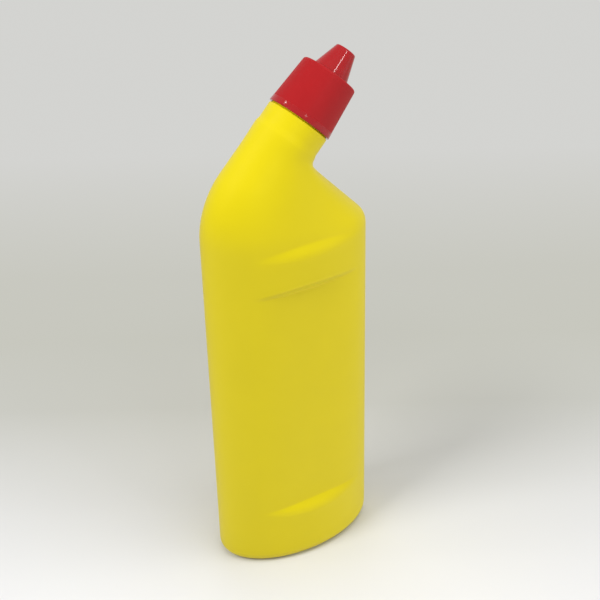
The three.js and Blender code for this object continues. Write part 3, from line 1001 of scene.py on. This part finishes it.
class CLEANER_OT_cap(bpy.types.Operator):
    """Models the screw cap with its band, tip, inner thread and sealing pin"""

    bl_idname = "cleaner.cap"
    bl_label = "Screw cap"

    def execute(self, context):
        closure = context.scene.cleaner_closure
        shoulder = CAP_TOP - closure.tip_height
        under_roof = shoulder - closure.roof
        inside_tip = CAP_TOP - closure.tip_wall
        band_top = CAP_BOTTOM + closure.band_height
        counterbore_end = CAP_BOTTOM + closure.counterbore_height
        pin_end = SPOUT_END - closure.pin_reach

        def skirt(along):
            part = (along - CAP_BOTTOM) / (shoulder - CAP_BOTTOM)
            return mix(CAP_BOTTOM_RADIUS, closure.cap_top_radius, part)

        fillet = [
            (closure.tip_root_radius + radius, shoulder + along)
            for radius, along in hollow_corner(closure.tip_fillet)]
        profile = [
            (CAP_BOTTOM_RADIUS, CAP_BOTTOM),
            (skirt(band_top), band_top),
            (skirt(band_top) - closure.band_step, band_top + closure.band_step),
            *rounded_corner(closure.cap_top_radius, shoulder, closure.shoulder_round),
            *fillet,
            *rounded_corner(closure.tip_top_radius, CAP_TOP, closure.tip_round)]
        inner_profile = [
            (CAP_BOTTOM_RADIUS, CAP_BOTTOM),
            (closure.counterbore_radius, CAP_BOTTOM),
            (closure.counterbore_radius, counterbore_end),
            (closure.cap_bore_radius, counterbore_end + BORE_SLOPE),
            (closure.cap_bore_radius, under_roof),
            (closure.tip_root_radius - closure.tip_wall, under_roof),
            (closure.tip_top_radius - closure.tip_wall, inside_tip),
            (closure.pin_radius, inside_tip),
            (closure.pin_radius, pin_end)]
        whole = [*reversed(profile), *inner_profile[1:]]
        piece = skin_rings(
            "screw_cap", round_sections(whole), ROUND_SIDES, start_filled=True, end_filled=True)
        close_and_turn_outwards()
        round_edges(piece, MOULDED_ROUND, limit_degrees=50)
        thread = thread_ridge(
            "cap_thread", closure.cap_bore_radius + THREAD_BITE,
            closure.cap_bore_radius - CAP_THREAD_HEIGHT,
            foot=1.4 * MM, top=0.7 * MM, start=THREAD_START - closure.thread_pitch / 2,
            turns=closure.thread_turns, pitch=closure.thread_pitch)
        join_to(piece, [thread])
        stand_on_neck(piece)
        shade_round(piece, degrees=30)
        dress(piece, moulded_red(closure), "cap", "cap")
        return {"FINISHED"}


# The soft boxes, named by the setting that holds their power, with their places and widths
SOFT_BOXES = (
    ("overhead", (0.08, -0.2, 1.08), 0.8),
    ("key", (-0.77, -0.05, 0.83), 0.4),
    ("fill", (0.8, -0.8, 0.35), 0.7),
    ("back", (0.4, 0.95, 0.45), 0.7))
# Small lamps that draw the thin lights on the cap's glossy band and tip, with their share of the power
GLINT_WIDTH = 0.07
GLINTS = (
    ("tip_glint", (0.145, -0.78, 0.87), 1.0),
    ("tip_side_glint", (0.29, -0.72, 0.8), 0.4),
    ("band_glint", (-0.585, 0.31, 0.97), 0.9),
    ("band_front_glint", (-0.19, -0.9, 0.64), 0.4))
DAYLIGHT = (1.0, 0.99, 0.97, 1.0)
BACKDROP_GREY = (0.67, 0.67, 0.67, 1.0)


class CLEANER_OT_studio(bpy.types.Operator):
    """Sets the camera, the lamps, the surroundings and the floor"""

    bl_idname = "cleaner.studio"
    bl_label = "Studio"

    def execute(self, context):
        studio = context.scene.cleaner_studio
        context.scene.view_settings.view_transform = "Standard"
        add_camera(context.scene, studio)
        add_floor(studio)
        add_surroundings(context.scene, studio)
        for setting, place, width in SOFT_BOXES:
            add_soft_box(f"{setting}_soft_box", place, width, getattr(studio, setting))
        for name, place, share in GLINTS:
            add_soft_box(name, place, GLINT_WIDTH, studio.glint * share, mirrored=True)
        return {"FINISHED"}


def add_camera(scene, studio):
    """A camera that looks at the target from the photograph's direction."""
    around, above, roll = studio.azimuth, studio.elevation, studio.roll
    right = Vector((math.cos(around), math.sin(around), 0))
    back = Vector((
        math.sin(around) * math.cos(above), -math.cos(around) * math.cos(above), math.sin(above)))
    up = back.cross(right)
    turned_right = right * math.cos(roll) + up * math.sin(roll)
    turned_up = up * math.cos(roll) - right * math.sin(roll)
    data = bpy.data.cameras.new("camera")
    data.lens = studio.lens
    data.clip_start = 0.01
    camera = bpy.data.objects.new("camera", data)
    scene.collection.objects.link(camera)
    place = Vector(studio.target) + back * studio.distance
    axes = Matrix((turned_right, turned_up, back)).transposed()
    camera.matrix_world = Matrix.Translation(place) @ axes.to_4x4()
    scene.camera = camera


def add_floor(studio):
    select_only()
    bpy.ops.mesh.primitive_plane_add(size=studio.floor_size)
    floor = bpy.context.object
    floor.name = "floor"
    floor.data.materials.append(floor_paper(studio))


def add_surroundings(scene, studio):
    """Even light from all round, which the camera and reflections see as a pale backdrop."""
    world = bpy.data.worlds.new("studio")
    world.use_nodes = True
    scene.world = world
    tree = world.node_tree
    tree.nodes.clear()
    light = tree.nodes.new("ShaderNodeBackground")
    light.inputs["Color"].default_value = DAYLIGHT
    light.inputs["Strength"].default_value = studio.ambient
    backdrop = tree.nodes.new("ShaderNodeBackground")
    backdrop.inputs["Color"].default_value = BACKDROP_GREY
    rays = tree.nodes.new("ShaderNodeLightPath")
    seen = tree.nodes.new("ShaderNodeMath")
    seen.operation = "MAXIMUM"
    both = tree.nodes.new("ShaderNodeMixShader")
    output = tree.nodes.new("ShaderNodeOutputWorld")
    tree.links.new(rays.outputs["Is Camera Ray"], seen.inputs[0])
    tree.links.new(rays.outputs["Is Glossy Ray"], seen.inputs[1])
    tree.links.new(seen.outputs[0], both.inputs[0])
    tree.links.new(light.outputs[0], both.inputs[1])
    tree.links.new(backdrop.outputs[0], both.inputs[2])
    tree.links.new(both.outputs[0], output.inputs[0])


def add_soft_box(name, place, width, power, mirrored=False):
    """A square lamp that faces the middle of the bottle. Only a mirrored one shows in glossy surfaces."""
    data = bpy.data.lights.new(name, "AREA")
    data.shape = "SQUARE"
    data.size = width
    data.energy = power
    lamp = bpy.data.objects.new(name, data)
    lamp.visible_glossy = mirrored
    bpy.context.scene.collection.objects.link(lamp)
    way = Vector((0, 0, (BODY_LOW.z + BODY_HIGH.z) / 2)) - Vector(place)
    lamp.matrix_world = Matrix.Translation(place) @ way.to_track_quat("-Z", "Y").to_matrix().to_4x4()


class CLEANER_PT_panel(bpy.types.Panel):
    """Lists the pieces and their sizes"""

    bl_idname = "CLEANER_PT_panel"
    bl_label = "Toilet cleaner bottle"
    bl_space_type = "VIEW_3D"
    bl_region_type = "UI"
    bl_category = "Bottle"

    def draw(self, context):
        layout = self.layout
        for operator in OPERATORS:
            layout.operator(operator.bl_idname)
        for settings in SETTINGS:
            group = getattr(context.scene, settings)
            box = layout.box()
            for name in group.__annotations__:
                box.prop(group, name)


SETTINGS = {
    "cleaner_bottle": BottleSettings,
    "cleaner_closure": ClosureSettings,
    "cleaner_studio": StudioSettings,
}
OPERATORS = (
    CLEANER_OT_bottle,
    CLEANER_OT_nozzle,
    CLEANER_OT_sealing_ring,
    CLEANER_OT_cap,
    CLEANER_OT_studio,
)


def register():
    for settings in SETTINGS.values():
        bpy.utils.register_class(settings)
    for name, settings in SETTINGS.items():
        setattr(bpy.types.Scene, name, bpy.props.PointerProperty(type=settings))
    for operator in OPERATORS:
        bpy.utils.register_class(operator)
    bpy.utils.register_class(CLEANER_PT_panel)


def unregister():
    bpy.utils.unregister_class(CLEANER_PT_panel)
    for operator in reversed(OPERATORS):
        bpy.utils.unregister_class(operator)
    for name, settings in SETTINGS.items():
        delattr(bpy.types.Scene, name)
        bpy.utils.unregister_class(settings)


def main():
    register()
    bpy.ops.cleaner.bottle()
    bpy.ops.cleaner.nozzle()
    bpy.ops.cleaner.sealing_ring()
    bpy.ops.cleaner.cap()
    bpy.ops.cleaner.studio()


if __name__ == "__main__":
    main()
